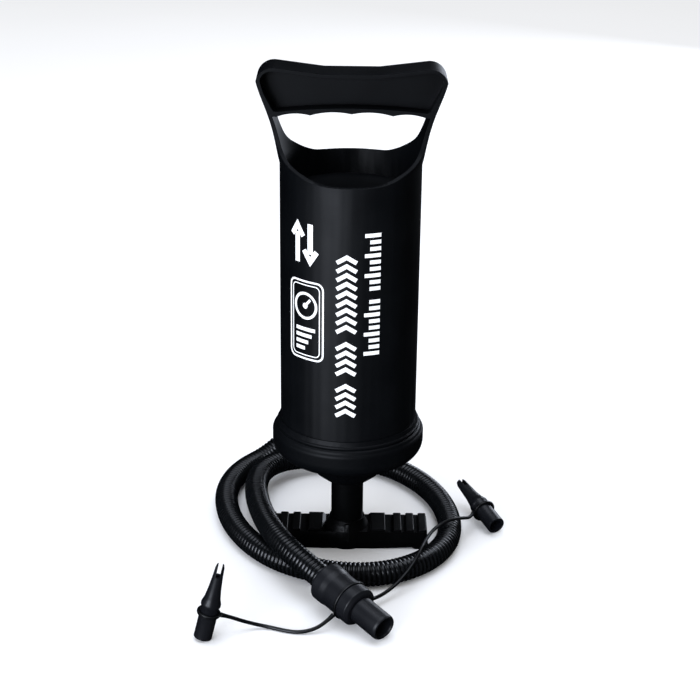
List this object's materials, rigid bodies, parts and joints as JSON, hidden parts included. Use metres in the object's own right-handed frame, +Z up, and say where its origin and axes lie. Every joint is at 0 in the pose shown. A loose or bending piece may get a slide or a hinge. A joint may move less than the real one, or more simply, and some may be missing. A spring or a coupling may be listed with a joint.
{
  "type": "hand air pump",
  "caption": "Upright double-action hand air pump: handled barrel sliding on a rod fixed to a step-on foot plate, with corrugated hose, nozzle and tethered valve adapters.",
  "frame": {"origin": "centre of the foot plate's underside, on the pump axis", "axes": "+Z up along the pump axis, +X along the foot plate to the user's right, -Y the front, +Y towards the hose port"},
  "size_m": [0.1875, 0.2418, 0.305],
  "materials": {
    "shell_plastic": "moulded black polypropylene, satin",
    "black_abs": "moulded black ABS, semi-gloss",
    "foot_plastic": "moulded black polypropylene, matt",
    "rod_plastic": "extruded black tube, smooth",
    "hose_pe": "corrugated black polyethylene",
    "soft_pvc": "soft black PVC",
    "seal_rubber": "moulded nitrile rubber",
    "natural_plastic": "natural acetal",
    "liner_plastic": "extruded pale tube, smooth bore",
    "steel": "zinc-plated steel"
  },
  "bodies": {
    "base": {"foot_plate": "foot_plastic", "piston_rod": "rod_plastic", "rod_pin": "steel", "rod_end_plug": "natural_plastic", "piston": "natural_plastic", "piston_seal": "seal_rubber", "piston_washer": "steel", "piston_screw": "steel", "upper_bumper": "seal_rubber", "lower_bumper": "seal_rubber", "hose": "hose_pe", "hose_cuff": "black_abs", "nozzle": "black_abs", "cuff_ring": "soft_pvc", "adapter_left": "black_abs", "adapter_right": "black_abs", "eyelet_left": "soft_pvc", "eyelet_right": "soft_pvc", "tether_left": "soft_pvc", "tether_right": "soft_pvc"},
    "barrel": {"barrel_shell": "shell_plastic", "inner_cylinder": "liner_plastic", "upper_head": "natural_plastic", "lower_head": "natural_plastic", "upper_cylinder_seal": "seal_rubber", "lower_cylinder_seal": "seal_rubber", "upper_intake_gasket": "seal_rubber", "lower_intake_gasket": "seal_rubber", "collar": "shell_plastic", "gland_bush": "natural_plastic", "rod_seal": "seal_rubber", "gland_retainer": "natural_plastic", "hose_plug": "black_abs", "port_seal": "seal_rubber"},
    "upper_intake_valve_body": {"upper_intake_valve": "seal_rubber"},
    "upper_outlet_valve_body": {"upper_outlet_valve": "seal_rubber"},
    "lower_intake_valve_body": {"lower_intake_valve": "seal_rubber"},
    "lower_outlet_valve_body": {"lower_outlet_valve": "seal_rubber"}
  },
  "joints": [
    {"name": "barrel_slide", "type": "slide", "parent": "base", "child": "barrel", "axis": [0, 0, 1], "range_m": [0, 0.11]},
    {"name": "upper_intake_lift", "type": "slide", "parent": "barrel", "child": "upper_intake_valve_body", "axis": [0, 0, -1], "range_m": [0, 0.0015], "stiffness_N_per_m": 15, "springref_m": -0.0006},
    {"name": "upper_outlet_lift", "type": "slide", "parent": "barrel", "child": "upper_outlet_valve_body", "axis": [0, 0, 1], "range_m": [0, 0.0015], "stiffness_N_per_m": 15, "springref_m": -0.0006},
    {"name": "lower_intake_lift", "type": "slide", "parent": "barrel", "child": "lower_intake_valve_body", "axis": [0, 0, 1], "range_m": [0, 0.0015], "stiffness_N_per_m": 15, "springref_m": -0.0006},
    {"name": "lower_outlet_lift", "type": "slide", "parent": "barrel", "child": "lower_outlet_valve_body", "axis": [0, 0, -1], "range_m": [0, 0.0015], "stiffness_N_per_m": 15, "springref_m": -0.0006}
  ]
}
